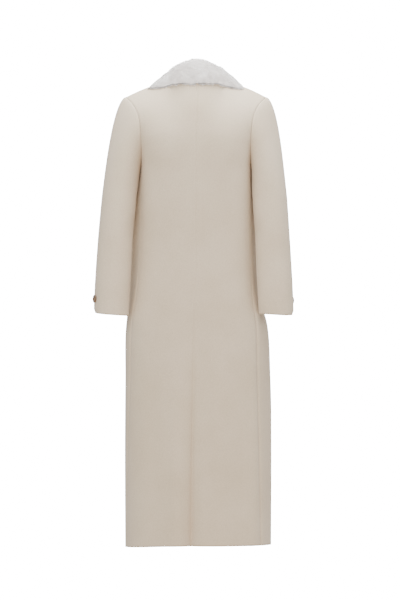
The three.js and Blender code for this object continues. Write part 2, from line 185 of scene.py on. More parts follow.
# Fullness of the cloth in front of each arm, which the sleeves hide from behind
FULLNESS = table(
    ["z", "left", "right"],
    [-640, 0, 0],
    [-583, 8, 0],
    [-528, 17, 4],
    [-460, 23, 11],
    [-390, 25, 14],
    [-320, 21, 12],
    [-253, 10.5, 6.5],
    [-230, 5, 5],
    [-215, 2.5, 3],
)
FULLNESS_AT = 100
FULLNESS_WIDTH = 12
HEM_DIP_AT = 82
HEM_DIP_WIDTH = 36
HEM_DIP = 6
HEM_DIP_TOP = -900
TURN_FADE = 0.7  # share of the seams' turn that is gone at the middle of the front
TURN_STEP = 0.01
HEIGHT_STEP = 4


def relief(phi, z, radius):
    from_seam = (phi - SEAMS["turn"](z) * DEG) * radius
    out = -SEAMS["trough"](z) * bell(from_seam / TROUGH_WIDTH)
    line = ease((TROUGH_LINE_TOP - z) / (TROUGH_LINE_TOP - TROUGH_LINE_FULL))
    out = out - TROUGH_LINE * line * bell(from_seam / TROUGH_LINE_WIDTH)
    for at, width, top, full, rise in FOLDS:
        away = np.mod(phi / DEG - at + 540, 360) - 180
        out = out + rise * ease((top - z) / (top - full)) * bell(away / width)
    full = np.where(np.sin(phi) > 0, FULLNESS["left"](z), FULLNESS["right"](z))
    out = out + full * bell((np.abs(phi) / DEG - FULLNESS_AT) / FULLNESS_WIDTH)
    share = np.where(phi > 0, PRESS_LEFT_SHARE, 1)
    return out - share * PRESS["deep"](z) * bell((np.abs(phi) / DEG - PRESS_AT) / PRESS_WIDTH)


def body_point(phi, z):
    mid = BODY["mid"](z)
    deep = np.where(np.cos(phi) > 0, BODY["back"](z) - mid, mid - BODY["front"](z))
    square = BODY["square"](z)
    across = np.abs(np.sin(phi) / BODY["half"](z)) ** square
    along = np.abs(np.cos(phi) / deep) ** square
    plain = (across + along) ** (-1 / square)
    radius = plain + relief(phi, z, plain)
    dip = HEM_DIP * bell((phi / DEG - HEM_DIP_AT) / HEM_DIP_WIDTH)
    low = ease((HEM_DIP_TOP - z) / (HEM_DIP_TOP - HEM))
    return stack(SEAMS["lean"](z) + radius * np.sin(phi), mid + radius * np.cos(phi), z - dip * low)


def body_normal(phi, z):
    across = body_point(phi + TURN_STEP, z) - body_point(phi - TURN_STEP, z)
    up = body_point(phi, z + HEIGHT_STEP) - body_point(phi, z - HEIGHT_STEP)
    return unit(np.cross(up, across))


# Outline of the upper pieces, for the wearer's left side
ARMHOLE = {
    "back": table(
        ["v", "x", "y", "z"],
        [0, 150, 5, -215],
        [0.2, 149.5, 36, -192],
        [0.4, 150.5, 60, -150],
        [0.6, 152.5, 66, -110],
        [0.8, 160, 54, -70],
        [0.9, 173, 33, -44],
        [1, 193, 2, -23],
    ),
    "front": table(
        ["v", "x", "y", "z"],
        [0, 150, 5, -215],
        [0.2, 150, -28, -196],
        [0.4, 151, -50, -155],
        [0.6, 151, -55, -112],
        [0.8, 158, -44, -70],
        [0.9, 171, -26, -44],
        [1, 193, 2, -23],
    ),
}
NAPE = table(
    ["v", "y", "z"],
    [0, 106, -215],
    [0.25, 105, -155],
    [0.5, 98, -97],
    [0.75, 82, -38],
    [1, 47, 27],
)
NECK_EDGE = table(
    ["v", "x", "y", "z"],
    [0, 22, -108, -215],
    [0.3, 38, -104, -142],
    [0.6, 56, -86, -72],
    [0.85, 71, -45, -6],
    [1, 76, -4, 22],
)
SIDE_JOIN = 0.4  # height over which the armhole line joins the side seam
NORMAL_STEP = 0.02


def panel_angle(part, u, z):
    side = SEAMS["side"](z) * DEG
    if part == "back":
        return u * side
    above = V_HALF * (z - V_POINT) / (ARM - V_POINT)
    below = -OVERLAP * ease((V_POINT - z) / (V_POINT - V_FULL))
    edge = np.where(z > V_POINT, above, below)
    last = math.pi - np.arctan2(edge, BODY["mid"](z) - BODY["front"](z))
    return side + u * (last - side)


def turned(side, angle, z):
    return side * angle + SEAMS["turn"](z) * DEG * (1 - TURN_FADE * (angle / math.pi) ** 2)


def low_point(part, side, u, z):
    angle = panel_angle(part, u, z)
    phi = turned(side, angle, z)
    point = body_point(phi, z)
    if part == "front" and side < 0:
        lift = OVER * ease((angle / DEG - OVER_FROM) / OVER_WIDTH)
        point = point + body_normal(phi, z) * lift[..., None]
    return point


def side_point(part, side, v):
    line = ARMHOLE[part]
    rest = low_point(part, side, np.array(1.0 if part == "back" else 0.0), np.array(float(ARM)))
    start = np.array([side * UNDERARM[0] + LEAN, UNDERARM[1], UNDERARM[2]])
    point = stack(side * line["x"](v) + LEAN, line["y"](v), line["z"](v))
    return point + (rest - start) * (1 - ease(v / SIDE_JOIN))[..., None]


def centre_point(part, side, v):
    lean = LEAN * (1 - v)
    if part == "back":
        return stack(lean, NAPE["y"](v), NAPE["z"](v))
    rest = low_point(part, side, np.array(1.0), np.array(float(ARM)))
    start = np.array([side * V_HALF + LEAN, CHEST_FRONT, ARM])
    point = stack(side * NECK_EDGE["x"](v) + lean, NECK_EDGE["y"](v), NECK_EDGE["z"](v))
    return point + (rest - start) * (1 - ease(v))[..., None]


def neck_point(side, share):
    angle = share * math.pi / 2
    return stack(
        side * NECK_HALF * np.sin(angle),
        NECK_SIDE + NECK_DEPTH * np.cos(angle),
        NECK_Z + NECK_RISE * np.cos(angle),
    )


def shoulder_point(side, share):
    share = np.asarray(share, dtype=float)
    outer = np.array([side * SHOULDER[0] + LEAN, SHOULDER[1], SHOULDER[2]])
    point = mix(neck_point(side, np.ones_like(share)), outer, share)
    point[..., 2] += SHOULDER_ARCH * np.sin(math.pi * share)
    return point


def top_point(part, side, u):
    u = np.asarray(u, dtype=float)
    if part == "front":
        return shoulder_point(side, 1 - u)
    on_neck = neck_point(side, np.clip(u / NECK_SHARE, 0, 1))
    on_shoulder = shoulder_point(side, np.clip((u - NECK_SHARE) / (1 - NECK_SHARE), 0, 1))
    return np.where((u < NECK_SHARE)[..., None], on_neck, on_shoulder)


def panel_point(part, side, u, v):
    """v is 0 at the hem, 1 at the underarm and 2 at the shoulder; u runs away from the back."""
    u, v = np.broadcast_arrays(np.asarray(u, dtype=float), np.asarray(v, dtype=float))
    low = low_point(part, side, u, HEM + np.clip(v, 0, 1) * (ARM - HEM))
    w = np.clip(v - 1, 0, 1)
    edges = (centre_point, side_point) if part == "back" else (side_point, centre_point)
    left = edges[0](part, side, w)
    right = edges[1](part, side, w)
    zero, one = np.zeros_like(u), np.ones_like(u)
    base = low_point(part, side, u, ARM * one)
    corner_0 = low_point(part, side, zero, ARM * one)
    corner_1 = low_point(part, side, one, ARM * one)
    top_0, top_1 = top_point(part, side, zero), top_point(part, side, one)
    chord = mix(top_0, top_1, u)
    top = mix(chord, top_point(part, side, u), w)
    high = mix(base, top, w) + mix(left, right, u)
    high = high - mix(mix(corner_0, corner_1, u), chord, w)
    return np.where((v <= 1)[..., None], low, high)


def panel_normal(part, side, u, v):
    before, after = np.maximum(0, u - NORMAL_STEP), np.minimum(1, u + NORMAL_STEP)
    below, above = np.maximum(0, v - NORMAL_STEP), np.minimum(2, v + NORMAL_STEP)
    across = panel_point(part, side, after, v) - panel_point(part, side, before, v)
    up = panel_point(part, side, u, above) - panel_point(part, side, u, below)
    normal = np.cross(up, across) * side
    if part == "back":
        normal[..., 0] = np.where(np.asarray(u) < NORMAL_STEP, 0, normal[..., 0])
    return unit(normal)


# Meshes
WELD_WITHIN = 1e-7


def new_mesh(name, points, faces):
    """points in metres; faces is an array of quads or triangles."""
    faces = np.asarray(faces, dtype=np.int32)
    mesh = bpy.data.meshes.new(name)
    mesh.vertices.add(len(points))
    mesh.vertices.foreach_set("co", np.asarray(points, dtype=np.float32).ravel())
    mesh.loops.add(faces.size)
    mesh.loops.foreach_set("vertex_index", faces.ravel())
    mesh.polygons.add(len(faces))
    mesh.polygons.foreach_set("loop_start", np.arange(len(faces), dtype=np.int32) * faces.shape[1])
    mesh.update(calc_edges=True)
    mesh.validate()
    mesh.polygons.foreach_set("use_smooth", np.ones(len(mesh.polygons), dtype=bool))
    piece = bpy.data.objects.new(name, mesh)
    bpy.context.collection.objects.link(piece)
    return piece


def welded(piece):
    form = bmesh.new()
    form.from_mesh(piece.data)
    bmesh.ops.remove_doubles(form, verts=form.verts, dist=WELD_WITHIN)
    form.to_mesh(piece.data)
    form.free()
    return piece


def grid_normals(grid, flip, closed):
    if closed:
        across = np.roll(grid, -1, axis=1) - np.roll(grid, 1, axis=1)
    else:
        across = np.gradient(grid, axis=1)
    up = np.gradient(grid, axis=0)
    return unit(np.cross(up, across)) * flip


def grid_quads(rows, cols, closed):
    """The corners of each quad of a grid of points; a closed grid joins its last column to its first."""
    j, i = np.meshgrid(np.arange(rows - 1), np.arange(cols if closed else cols - 1), indexing="ij")
    after = (i + 1) % cols
    corners = [j * cols + i, j * cols + after, (j + 1) * cols + after, (j + 1) * cols + i]
    return np.stack(corners, axis=-1).reshape(-1, 4)


def shell(name, outer, inner, flip, closed):
    """A wall between two grids of points, open at its borders or closed round each row."""
    rows, cols = outer.shape[:2]
    count = rows * cols
    points = np.concatenate([outer.reshape(-1, 3), inner.reshape(-1, 3)]) * MM
    quads = grid_quads(rows, cols, closed)
    faces = [quads, quads[:, ::-1] + count]
    i = np.arange(cols if closed else cols - 1)
    after = (i + 1) % cols
    low = np.stack([i, i + count, after + count, after], axis=-1)
    shift = (rows - 1) * cols
    faces += [low, low[:, ::-1] + shift]
    if not closed:
        j = np.arange(rows - 1) * cols
        first = np.stack([j, j + cols, j + cols + count, j + count], axis=-1)
        faces += [first, first[:, ::-1] + cols - 1]
    faces = np.concatenate(faces)
    if flip:
        faces = faces[:, ::-1]
    return new_mesh(name, points, faces)


# Body panels
ROWS_LOW = 190
ROWS_TOP = 60
COLUMNS = 44
NEAR_SEAM = [0.4, 1.0, 1.8, 3.0, 5.0, 8.0]  # extra columns beside each seam, in millimetres
DITCH = 0.9
DITCH_WIDTH = 2.4
SIDE_DITCH = 2.4  # how far the side seams are pressed in
SIDE_DITCH_WIDTH = 5
SIDE_DITCH_TOP = 0.75
SIDE_DITCH_FADE = 0.2
PANEL_WIDE = 200  # about how wide a panel is
NEAR_CLEAR = 1.3  # even columns start this much further in than the extra ones end
NEAR_TOP = [0.99, 0.996, 1]


def columns():
    near = np.array(NEAR_SEAM) / PANEL_WIDE
    inside = np.linspace(0, 1, COLUMNS + 1)[1:-1]
    clear = near[-1] * NEAR_CLEAR
    inside = inside[(inside > clear) & (inside < 1 - clear)]
    return np.concatenate([[0], near, inside, 1 - near[::-1], [1]])


def along(grid, axis):
    steps = np.linalg.norm(np.diff(grid, axis=axis), axis=-1)
    pad = [(1, 0), (0, 0)] if axis == 0 else [(0, 0), (1, 0)]
    return np.pad(np.cumsum(steps, axis=axis), pad)


KINK_TOP = 0.97
KINK_FULL = 0.86
KINK_SOFT = 0.16
KINK_FROM = 1.15
KINK_GROWS = 0.35


def without_neck_kink(grid, u, vv):
    """Below the collar the cloth runs on smoothly from under the neckline's corner to the shoulder."""
    spread = bell((u[:, None] - u[None]) / KINK_SOFT) * np.gradient(u)[None]
    near = np.minimum(u, 1 - u)[:, None]
    spread = np.where(np.abs(u[:, None] - u[None]) <= near, spread, 0)
    spread += np.eye(len(u)) * 1e-9
    spread /= spread.sum(axis=1, keepdims=True)
    line = mix(grid[:, :1], grid[:, -1:], u[None])
    soft = line + np.einsum("ij,kjc->kic", spread, grid - line)
    share = ease((KINK_TOP - (vv - 1)) / (KINK_TOP - KINK_FULL)) * ease((vv - KINK_FROM) / KINK_GROWS)
    return mix(grid, soft, share)


UNDERARM_SOFT = 26
UNDERARM_REACH = 95
UNDERARM_FADE = 45
FROM_ARMHOLE = 0.3


def without_underarm_kink(grid, u, vv, part):
    """The cloth runs on smoothly at the height of the underarm, away from the armhole's corner."""
    up = along(grid, 0)
    up = up - up[np.argmin(np.abs(vv[:, 0] - 1))]
    steps = np.gradient(up, axis=0)
    weights = bell((up[:, None] - up[None]) / UNDERARM_SOFT) * steps[None]
    soft = np.einsum("rqc,qck->rck", weights, grid) / weights.sum(axis=1)[..., None]
    from_armhole = 1 - u if part == "back" else u
    share = ease((UNDERARM_REACH - np.abs(up)) / UNDERARM_FADE) * ease(from_armhole / FROM_ARMHOLE)[None]
    return mix(grid, soft, share)


def panel(name, part, side):
    u = columns()
    low = np.linspace(0, 1, ROWS_LOW + 1)
    high = 1 + np.concatenate([np.linspace(0, 1, ROWS_TOP + 1)[1:-1], NEAR_TOP])
    v = np.concatenate([low, high])
    uu, vv = np.meshgrid(u, v)
    grid = panel_point(part, side, uu, vv)
    grid = without_neck_kink(grid, u, vv) if part == "back" else grid
    grid = without_underarm_kink(grid, u, vv, part)
    normals = grid_normals(grid, side, False)
    normals[-1, :, 1] *= 0 if part == "front" else 1
    if part == "back":
        normals[:, 0, 0] = 0
        normals[-1, u > NECK_SHARE - NORMAL_STEP, 1] = 0
    normals = unit(normals)
    across, up = along(grid, 1), along(grid, 0)
    to_first, to_last = across, across[:, -1:] - across
    to_top = up[-1:] - up
    sink = bell(to_first / DITCH_WIDTH)
    if part == "back":
        sink = sink + bell(to_last / DITCH_WIDTH)
    sink = sink + bell(to_top / DITCH_WIDTH)
    to_side = to_last if part == "back" else to_first
    pressed = SIDE_DITCH * bell(to_side / SIDE_DITCH_WIDTH) * ease((SIDE_DITCH_TOP - vv) / SIDE_DITCH_FADE)
    grid = grid - normals * pressed[..., None]
    outer = grid - normals * (DITCH * np.minimum(sink, 1))[..., None]
    deep = WALL + (HEM_THICK - WALL) * ease((HEM_DEPTH - up) / HEM_STEP)
    inner = grid - normals * deep[..., None]
    return shell(name, outer, inner, side > 0, False)


# Sleeves
SLEEVE = table(
    ["z", "x", "y", "half", "deep"],
    [-624, 227, 50, 48.2, 49],
    [-540, 223, 43, 49, 52],
    [-430, 217, 32, 48.4, 56],
    [-300, 207.5, 18, 48, 61],
)
SLEEVE_SHIFT = table(["z", "left"], [-624, 9], [-430, 8.5], [-300, 7], [-27, 3])
SLEEVE_TOP = -300
CUFF = -624
CUFF_TILT = {1: 3, -1: -3}
# Each row has its place and width in degrees, its height and reach, and how far it stands out
SLEEVE_FOLDS = [
    [150, 30, -400, 34, -3],
    [60, 34, -452, 42, -1.6],
    [250, 32, -380, 30, -3.5],
    [235, 36, -455, 30, -2.5],
]
# The cuff is drawn in a little at its outer corner
CORNER_WIDTH = 42
CORNER_HEIGHT = 16
CORNER_IN = 4
CORNER_UP = 3
SLEEVE_ROUND = 72
SLEEVE_CAP_ROWS = 64
SLEEVE_CAP_FROM = 0.028
SLEEVE_SEAM_ROWS = [0, 0.004, 0.009, 0.016]
SLEEVE_TUBE_ROWS = 72
# How the sleeve leaves the armhole: each pair is the value at the underarm and what the top of the arm adds
CAP_OUT = (0.2, 0.8)
CAP_OUT_POWER = 0.7
CAP_ASIDE = 0.12
CAP_DOWN = (-1, 0.72)
CAP_DOWN_POWER = 0.8
CAP_LEAVES = (60, 50)
CAP_ARRIVES = (80, 170)
CAP_ARRIVAL = (0.12, 0.1, -1)


def sleeve_ring(side, psi, z):
    fold = 0
    for at, width, height, reach, rise in SLEEVE_FOLDS:
        fold = fold + rise * bell((psi / DEG - at) / width) * bell((z - height) / reach)
    low = np.clip((SLEEVE_TOP - z) / (SLEEVE_TOP - CUFF), 0, 1)
    from_outside = (np.mod(psi / DEG + 180, 360) - 180) / CORNER_WIDTH
    corner = bell(from_outside) * ease((CUFF + CORNER_HEIGHT - z) / CORNER_HEIGHT)
    half = SLEEVE["half"](z) + fold - CORNER_IN * corner
    return stack(
        side * (SLEEVE["x"](z) + half * np.cos(psi)) + SLEEVE_SHIFT["left"](z),
        SLEEVE["y"](z) + (SLEEVE["deep"](z) + fold) * np.sin(psi),
        z + CUFF_TILT[side] * np.cos(psi) * low + CORNER_UP * corner,
    )


def sleeve_cap(side, psi, t):
    share = np.abs(1 - psi / math.pi)
    back, front = side_point("back", side, share), side_point("front", side, share)
    start = np.where((psi <= math.pi)[..., None], back, front)
    top = (1 + np.cos(psi)) / 2
    end = sleeve_ring(side, psi, SLEEVE_TOP * np.ones_like(psi))
    out = CAP_OUT[0] + CAP_OUT[1] * top**CAP_OUT_POWER
    leave = stack(side * out, CAP_ASIDE * np.sin(psi), CAP_DOWN[0] + CAP_DOWN[1] * top**CAP_DOWN_POWER)
    leave = unit(leave) * (CAP_LEAVES[0] + CAP_LEAVES[1] * top)[..., None]
    arrive = np.array([side * CAP_ARRIVAL[0], CAP_ARRIVAL[1], CAP_ARRIVAL[2]])
    arrive = arrive * (CAP_ARRIVES[0] + CAP_ARRIVES[1] * top)[..., None]
    t = t[..., None]
    a = (1 + 2 * t) * (1 - t) ** 2
    b = t * (1 - t) ** 2
    c = t * t * (3 - 2 * t)
    d = t * t * (t - 1)
    return start * a + leave * b + end * c + arrive * d


def sleeve(name, side):
    psi = np.arange(SLEEVE_ROUND) * 2 * math.pi / SLEEVE_ROUND
    cap_t = np.concatenate([SLEEVE_SEAM_ROWS, np.linspace(SLEEVE_CAP_FROM, 1, SLEEVE_CAP_ROWS)[:-1]])
    tube_z = np.linspace(SLEEVE_TOP, CUFF, SLEEVE_TUBE_ROWS + 1)
    pp, tt = np.meshgrid(psi, cap_t)
    cap = sleeve_cap(side, pp, tt)
    pp, zz = np.meshgrid(psi, tube_z)
    grid = np.concatenate([cap, sleeve_ring(side, pp, zz)])
    middle = grid[0].mean(axis=0)
    way_in = unit(unit(middle - grid[0]) + np.array([-side, 0, 0]))
    grid = np.concatenate([(grid[0] + way_in * SEAM_TURN)[None], grid])
    normals = grid_normals(grid, side, True)
    down = along(grid, 0) - SEAM_TURN
    outer = grid - normals * (DITCH * bell(down / DITCH_WIDTH))[..., None]
    to_cuff = down[-1:] - down
    deep = WALL + (HEM_THICK - WALL) * ease((HEM_DEPTH - to_cuff) / HEM_STEP)
    inner = grid - normals * deep[..., None]
    return shell(name, outer, inner, side > 0, True)


# Fur collar. k is 0 at the centre back, 1 at the shoulder seam and 2 at the lower tip
COLLAR_EDGE = {
    "back": table(
        ["k", "u", "v"],
        [0, 0, 1.935],
        [0.35, 0.2, 1.94],
        [0.7, 0.46, 1.94],
        [0.88, 0.65, 1.95],
        [1, 0.775, 2],
    ),
    "front": table(
        ["k", "u", "in", "v"],
        [1, 0.385, 1, 2],
        [1.2, 0.32, 1, 1.74],
        [1.4, 0.33, 1, 1.47],
        [1.6, 0.43, 1, 1.21],
        [1.76, 0.58, 1, 1],
        [1.9, 0.78, 0.995, 0.956],
        [2, 0.93, 0.985, 0.922],
    ),
}
COLLAR_ROLL = table(
    ["k", "up", "lift", "out", "edge", "top", "over", "pile", "lies"],
    [0, 57, 0, -1, 21, 21, 15, 15, 0],
    [0.3, 47, 0, 0, 20, 20, 14, 15, 0],
    [0.6, 34, 0, 1, 17, 18, 13, 15, 0],
    [0.8, 26, 0, 2, 17, 18, 11, 15, 0],
    [1, 20, 1, 3, 14, 18, 9, 16, 0.3],
    [1.15, 13, 6, 2, 14, 20, 7, 16, 0.7],
    [1.3, 5, 12, 1, 14, 26, 6, 15, 1],
    [1.5, 0, 16, 0, 13, 26, 5, 15, 1],
    [1.76, 0, 15, 0, 12, 20, 4, 15, 1],
    [1.9, 0, 12, 0, 9, 11, 2.5, 12, 1],
    [2, 0, 7, 0, 5, 4, 1, 7, 1],
)
COLLAR_UNDER = [0, 0.17, 0.34, 0.51, 0.68, 0.84, 1]
COLLAR_DOME = [[0.06, 0.6], [0.25, 0.95], [0.48, 1.05], [0.7, 1.08], [0.88, 1.04]]
COLLAR_INSIDE = [0.25, 0.5, 0.78]
LAPEL_FLAT = 0.5  # from k = 1, how far until the collar lies flat
STAND_SHARE = 0.4


def bezier(a, b, c, d, t):
    s = 1 - t
    return a * s**3 + b * 3 * s * s * t + c * 3 * s * t * t + d * t**3


def collar_part(part, side, k):
    """Closed sections of one part: under the collar to its outer edge, over the fur and down inside."""
    edge_at = COLLAR_EDGE[part]
    across = np.array(COLLAR_UNDER + [1 - t for t, full in COLLAR_DOME])
    u0 = NECK_SHARE * k if part == "back" else edge_at["in"](k)
    v0 = np.full_like(k, 2) if part == "back" else edge_at["v"](k)
    u = u0[:, None] + (edge_at["u"](k) - u0)[:, None] * across
    v = v0[:, None] + (edge_at["v"](k) - v0)[:, None] * across
    normals = panel_normal(part, side, u, v)
    under = panel_point(part, side, u, v) + normals * LIE
    last = len(COLLAR_UNDER) - 1
    neck, edge = under[:, 0], under[:, last]
    at = {name: column(k)[:, None] for name, column in COLLAR_ROLL.items()}
    out = unit(edge - neck)
    level = unit(out * [1, 1, 0])
    flat = ease((k - 1) / LAPEL_FLAT)[:, None]
    away = unit(level * (1 - flat) + out * flat)
    roll = neck + at["up"] * [0, 0, 1] + normals[:, 0] * at["lift"] + away * at["out"]
    rim = edge + normals[:, last] * at["edge"]
    crown = roll + away * at["top"]
    lean = roll - away * at["over"]
    stand = neck + (roll - neck) * STAND_SHARE
    points = [under[:, i] for i in range(last + 1)]
    for i, (t, full) in enumerate(COLLAR_DOME, last + 1):
        folded = bezier(edge, rim, crown, roll, t)
        lying = under[:, i] + normals[:, i] * at["pile"] * full
        points.append(folded + (lying - folded) * at["lies"])
    points.append(roll)
    points += [bezier(roll, lean, stand, neck, t) for t in COLLAR_INSIDE]
    return np.stack(points, axis=1)


def collar_sections(side, keys):
    parts = (("back", keys[keys <= 1]), ("front", keys[keys > 1]))
    return np.concatenate([collar_part(part, side, k) for part, k in parts if len(k)])


# Place round the section in its points: 0 at the neck seam, 6 at the outer edge, 12 at the roll
SKIN_DEPTH = table(
    ["place", "deep"],
    [0, 1],
    [2, 0.2],
    [4.8, 0.2],
    [5.6, 1.5],
    [6, 3.2],
    [7, 4],
    [9, 4.4],
    [12, 4.2],
    [14, 3.4],
    [15, 2.4],
    [16, 1],
)
SKIN_SHARE = table(["k", "share"], [0, 1], [1.5, 1], [1.76, 0.85], [1.9, 0.6], [2, 0.35])
SKIN_FROM = 5.75
SKIN_TO = 16
SKIN_THICK = 2.4
SKIN_EDGE_SHARE = 0.2  # of the thickness is left at the two edges
SKIN_TAPER = 1.2
SECTION_STEPS = 4
COLLAR_SECTIONS = 60
SECTION_BLEND = 6
# Soft random values: the size of what is alike in millimetres, the seed and the strength
WAVES = {
    "lump": (26, 5, 0.8),
    "tilt": (18, 11, 5),
    "clump": (9, 21, 0.34),
    "sweep": (34, 31, 0.2),
    "length": (12, 41, 0.12),
}
WAVE_COUNT = 28
WAVE_RANGE = (0.6, 1.5)
LUMP_DEPTH = 4  # of fur, from which the lumps are full


def waves(kind, points):
    size, seed, strength = WAVES[kind]
    rng = np.random.default_rng(seed)
    ways = unit(rng.normal(size=(WAVE_COUNT, 3))) * rng.uniform(*WAVE_RANGE, (WAVE_COUNT, 1))
    ways = ways * 2 * math.pi / (2 * size)
    phases = rng.uniform(0, 2 * math.pi, WAVE_COUNT)
    return strength * (np.sin(points @ ways.T + phases).sum(axis=-1) / math.sqrt(WAVE_COUNT / 2))


def smooth_loops(loops, steps):
    """Catmull-Rom curve through each closed loop of points."""
    before = np.roll(loops, 1, axis=1)
    after = np.roll(loops, -1, axis=1)
    later = np.roll(loops, -2, axis=1)
    out = []
    for step in range(steps):
        t = step / steps
        out.append(0.5 * (
            2 * loops
            + (after - before) * t
            + (2 * before - 5 * loops + 4 * after - later) * t * t
            + (3 * loops - before - 3 * after + later) * t**3
        ))
    return np.stack(out, axis=2).reshape(len(loops), -1, 3)


def blended(values, size):
    """Averaged along the collar over about that many sections, with its two ends kept."""
    at = np.arange(len(values))
    far = (at[:, None] - at) / size
    near = np.minimum(at, at[::-1])[:, None] / size
    weights = bell(far) * (np.abs(far) <= near)
    return np.einsum("ij,jkc->ikc", weights / weights.sum(axis=1, keepdims=True), values)


def collar_loops():
    """Closed sections from the right tip to the left one, and the k of each, below 0 on the right."""
    keys = np.linspace(0, 2, 2 * COLLAR_SECTIONS + 1)
    left = collar_sections(1, keys)
    right = collar_sections(-1, keys[1:])[::-1]
    loops = smooth_loops(np.concatenate([right, left]), SECTION_STEPS)
    return blended(loops, SECTION_BLEND), np.concatenate([-keys[1:][::-1], keys])


def collar_form():
    """The fur's outer form, the skin under it with soft lumps, the outward normals and the fur's depth."""
    loops, keys = collar_loops()
    along_collar = np.gradient(loops, axis=0)
    around = np.roll(loops, -1, axis=1) - np.roll(loops, 1, axis=1)
    normals = unit(np.cross(around, along_collar))
    place = np.arange(loops.shape[1]) / SECTION_STEPS
    deep = SKIN_DEPTH["deep"](place)[None] * SKIN_SHARE["share"](np.abs(keys))[:, None]
    lumps = waves("lump", loops) * np.minimum(1, deep / LUMP_DEPTH)
    skin = loops - normals * (deep - lumps)[..., None]
    return {"outer": loops, "skin": skin, "normals": normals, "keys": keys, "place": place, "deep": deep}


def collar_skin(form):
    """The fur's skin: one thin sheet from the neck seam over the roll to the outer edge."""
    round_section = form["skin"].shape[1]
    used = np.arange(round(SKIN_FROM * SECTION_STEPS), round_section + 1)
    top = form["skin"][:, used % round_section]
    at = used / SECTION_STEPS
    inside = ease((at - SKIN_FROM) / SKIN_TAPER) * ease((SKIN_TO - at) / SKIN_TAPER)
    tapered = SKIN_EDGE_SHARE + (1 - SKIN_EDGE_SHARE) * inside
    share = SKIN_SHARE["share"](np.abs(form["keys"]))[:, None] * tapered
    under = top - form["normals"][:, used % round_section] * (SKIN_THICK * share)[..., None]
    return shell("fur_collar_skin", top, under, False, False)


# Fur: tapered hairs in soft clumps, rooted on the skin and combed towards the outer edge
HAIRS = 62000  # in each third of the collar's skin
HAIR_THIRDS = {"right": 0, "back": 1, "left": 2}
HAIR_SEED = 31
HAIR_WIDTH = 0.42
HAIR_WIDTHS = (0.75, 1.25)
HAIR_MIDDLE = 0.8  # share of the width at half the length
HAIR_FROM = 5.7  # places round the section between which hair grows
HAIR_TO = 15.5
HAIR_TILT = 64
HAIR_TILT_SPREAD = 6
HAIR_TILT_MOST = 70
HAIR_BEND = (0.85, 1.18)  # shares of the tilt below and above half the length
HAIR_ROLL = 0.6
HAIR_SWING = 0.16
HAIR_MIN = 3.2
HAIR_LENGTHS = (0.78, 1.12)
ROLL_AT = 12
ROLL_SHORTER = 0.4  # over the roll, where hairs would stand up
ROLL_WIDTH = 1.4
PARTING_WIDTH = 5
PARTING_TOP = 8.2
PARTING_FADE = 0.8
PARTING_TURN = 1.1
SHADE_BLEND = 16
# At the outer edge, hairs lie as they do at these places behind and in front, and so keep off the cloth
EDGE_LIKE = (9.5, 8)
EDGE_FROM = 6
EDGE_TO = 8
FRONT_FROM = 0.68
FRONT_GROWS = 0.22


def like_edge(form, directions):
    place = form["place"]
    behind, in_front = (unit(directions[:, np.argmin(np.abs(place - like))]) for like in EDGE_LIKE)
    held = mix(behind, in_front, ease((np.abs(form["keys"]) - FRONT_FROM) / FRONT_GROWS))[:, None]
    return mix(held, unit(directions), ease((place - EDGE_FROM) / (EDGE_TO - EDGE_FROM))[None])


def hair_roots(form, third, rng):
    """Random roots in one third of the skin: each one's quad, and its place in the quad."""
    skin, place = form["skin"], form["place"]
    cols = np.nonzero((place >= HAIR_FROM) & (place < HAIR_TO))[0]
    j, i = np.meshgrid(np.arange(len(skin) - 1), cols, indexing="ij")
    after = (i + 1) % skin.shape[1]
    sizes = np.linalg.norm(np.cross(skin[j + 1, i] - skin[j, i], skin[j, after] - skin[j, i]), axis=-1)
    share = np.cumsum(sizes.sum(axis=1)) / sizes.sum()
    rows = np.minimum((share * 3).astype(int), 2) == third
    j, i, after, sizes = (values[rows].ravel() for values in (j, i, after, sizes))
    picked = rng.choice(len(j), HAIRS, p=sizes / sizes.sum())
    s, t = rng.random((2, HAIRS))
    return j[picked], i[picked], after[picked], s, t


def hair_blades(root, middle, tip, normal, rng):
    """Five points of each hair, wound so that its face looks away from the skin."""
    rise = unit(middle - root)
    roll_by = rng.uniform(-HAIR_ROLL, HAIR_ROLL, HAIRS)
    blade = unit(np.cross(rise, normal))
    blade = unit(blade * np.cos(roll_by)[:, None] + np.cross(rise, blade) * np.sin(roll_by)[:, None])
    width = HAIR_WIDTH * rng.uniform(*HAIR_WIDTHS, HAIRS)[:, None] / 2
    points = np.stack([
        root - blade * width,
        root + blade * width,
        middle - blade * width * HAIR_MIDDLE,
        middle + blade * width * HAIR_MIDDLE,
        tip,
    ], axis=1)
    away = np.einsum("ij,ij->i", np.cross(blade, rise), normal) < 0
    points[away] = points[away][:, [1, 0, 3, 2, 4]]
    return points


